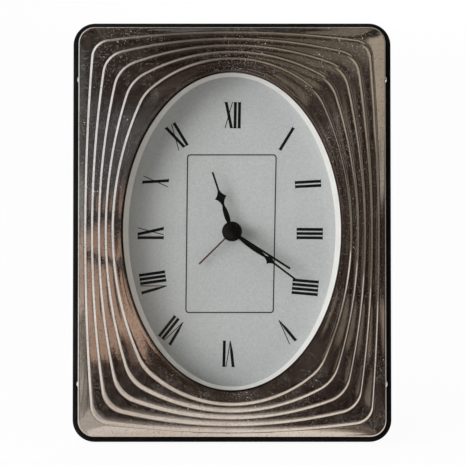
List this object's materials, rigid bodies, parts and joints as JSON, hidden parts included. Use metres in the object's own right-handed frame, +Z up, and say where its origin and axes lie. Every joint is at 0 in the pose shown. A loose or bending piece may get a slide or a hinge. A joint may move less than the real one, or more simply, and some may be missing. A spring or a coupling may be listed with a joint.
{
  "type": "photo frame clock",
  "caption": "Free-standing alarm clock: stamped silver frame with stepped ridges round an oval dial, quartz movement and a folding easel strut behind.",
  "frame": {"origin": "middle of the footprint, on the table that the clock stands on", "axes": "+X right as the dial is read, +Y towards the back, +Z up; the face leans back 12 degrees and looks towards -Y"},
  "size_m": [0.12, 0.047, 0.1552],
  "materials": {
    "silver_plate": "tarnished silver-plated sheet, polished",
    "velvet_board": "black velvet over hardboard",
    "core_wood": "raw fibreboard",
    "crystal_clear": "clear lens",
    "ring_white": "white moulded plastic",
    "dial_grey": "pale grey matt paint",
    "hand_black": "satin black paint",
    "alarm_red": "dark red-brown paint",
    "cap_black": "black moulded plastic",
    "nail_silver": "bright plated steel",
    "brass_hinge": "stamped brass",
    "steel_screw": "plated steel",
    "case_black": "black moulded plastic, fine grain",
    "knob_plastic": "dark grey moulded plastic",
    "wheel_white": "natural acetal",
    "plate_plastic": "grey moulded plastic",
    "contact_metal": "nickel-plated strip",
    "battery_sleeve": "plain dark sleeve",
    "board_green": "circuit laminate",
    "can_steel": "drawn steel can",
    "coil_copper": "enamelled copper wire",
    "magnet_dark": "magnet and white pinion"
  },
  "bodies": {
    "clock_body": {"back_board": "velvet_board", "core_frame": "core_wood", "metal_frame": "silver_plate", "frame_nails": "nail_silver", "crystal": "crystal_clear", "bezel_ring": "ring_white", "dial": "dial_grey", "back_screws": "steel_screw", "hinge_board_leaf": "brass_hinge", "hinge_pin": "steel_screw", "hinge_board_screws": "steel_screw", "movement_front_case": "case_black", "movement_rear_cover": "case_black", "cover_screws": "steel_screw", "movement_screws": "steel_screw", "train_plate": "plate_plastic", "battery": "battery_sleeve", "battery_positive_contact": "contact_metal", "battery_negative_contact": "contact_metal", "circuit_board": "board_green", "quartz_can": "can_steel", "buzzer": "case_black", "stator": "contact_metal", "coil_core": "contact_metal", "coil_bobbin": "plate_plastic", "coil_winding": "coil_copper", "alarm_contact_spring": "contact_metal"},
    "strut_body": {"strut": "velvet_board", "hinge_strut_leaf": "brass_hinge", "hinge_strut_screws": "steel_screw"},
    "second_body": {"second_wheel": "wheel_white", "second_hand": "hand_black", "second_hand_cap": "cap_black"},
    "third_body": {"third_wheel": "wheel_white"},
    "centre_body": {"centre_wheel": "wheel_white"},
    "intermediate_body": {"intermediate_wheel": "wheel_white"},
    "rotor_body": {"rotor": "magnet_dark"},
    "minute_body": {"minute_arbor": "wheel_white", "minute_hand": "hand_black"},
    "minute_wheel_body": {"minute_wheel": "wheel_white"},
    "hour_body": {"hour_wheel": "wheel_white", "hour_hand": "hand_black"},
    "time_set_body": {"time_set_knob": "knob_plastic"},
    "alarm_body": {"alarm_wheel": "wheel_white", "alarm_hand": "alarm_red"},
    "alarm_set_body": {"alarm_set_knob": "knob_plastic"},
    "alarm_switch_body": {"alarm_switch": "knob_plastic"}
  },
  "joints": [
    {"name": "strut_fold", "type": "hinge", "parent": "clock_body", "child": "strut_body", "pos_m": [0, -0.00044, 0.04079], "axis": [-1, 0, 0], "range_deg": [0, 34]},
    {"name": "second_hand_turn", "type": "hinge", "parent": "clock_body", "child": "second_body", "pos_m": [0, 0.00588, 0.07727], "axis": [0, 0.9781, -0.2079], "continuous": true},
    {"name": "third_wheel_turn", "type": "hinge", "parent": "clock_body", "child": "third_body", "pos_m": [-0.0051, 0.00772, 0.08591], "axis": [0, 0.9781, -0.2079], "continuous": true},
    {"name": "centre_wheel_turn", "type": "hinge", "parent": "clock_body", "child": "centre_body", "pos_m": [0, 0.00588, 0.07727], "axis": [0, 0.9781, -0.2079], "continuous": true},
    {"name": "intermediate_wheel_turn", "type": "hinge", "parent": "clock_body", "child": "intermediate_body", "pos_m": [0.00509, 0.00694, 0.08225], "axis": [0, 0.9781, -0.2079], "continuous": true},
    {"name": "rotor_turn", "type": "hinge", "parent": "clock_body", "child": "rotor_body", "pos_m": [0.01109, 0.00766, 0.08564], "axis": [0, 0.9781, -0.2079], "continuous": true},
    {"name": "minute_hand_turn", "type": "hinge", "parent": "clock_body", "child": "minute_body", "pos_m": [0, 0.00588, 0.07727], "axis": [0, 0.9781, -0.2079], "continuous": true},
    {"name": "minute_wheel_turn", "type": "hinge", "parent": "clock_body", "child": "minute_wheel_body", "pos_m": [0.00524, 0.00512, 0.07368], "axis": [0, 0.9781, -0.2079], "continuous": true},
    {"name": "hour_hand_turn", "type": "hinge", "parent": "clock_body", "child": "hour_body", "pos_m": [0, 0.00588, 0.07727], "axis": [0, 0.9781, -0.2079], "continuous": true},
    {"name": "time_set_turn", "type": "hinge", "parent": "clock_body", "child": "time_set_body", "pos_m": [0.01155, 0.00489, 0.0726], "axis": [0, 0.9781, -0.2079], "continuous": true},
    {"name": "alarm_hand_turn", "type": "hinge", "parent": "clock_body", "child": "alarm_body", "pos_m": [0, 0.00588, 0.07727], "axis": [0, 0.9781, -0.2079], "continuous": true},
    {"name": "alarm_set_turn", "type": "hinge", "parent": "clock_body", "child": "alarm_set_body", "pos_m": [-0.01064, 0.00549, 0.07544], "axis": [0, 0.9781, -0.2079], "continuous": true},
    {"name": "alarm_switch_slide", "type": "slide", "parent": "clock_body", "child": "alarm_switch_body", "axis": [0, 0.2079, 0.9781], "range_m": [0, 0.003]}
  ],
  "couplings": [
    {"joint": "third_wheel_turn", "follows": "second_hand_turn", "ratio": -0.13333},
    {"joint": "centre_wheel_turn", "follows": "second_hand_turn", "ratio": 0.016667},
    {"joint": "intermediate_wheel_turn", "follows": "second_hand_turn", "ratio": -5},
    {"joint": "rotor_turn", "follows": "second_hand_turn", "ratio": 30},
    {"joint": "minute_wheel_turn", "follows": "minute_hand_turn", "ratio": -0.33333},
    {"joint": "hour_hand_turn", "follows": "minute_hand_turn", "ratio": 0.083333},
    {"joint": "time_set_turn", "follows": "minute_hand_turn", "ratio": 1},
    {"joint": "alarm_set_turn", "follows": "alarm_hand_turn", "ratio": -0.8}
  ]
}
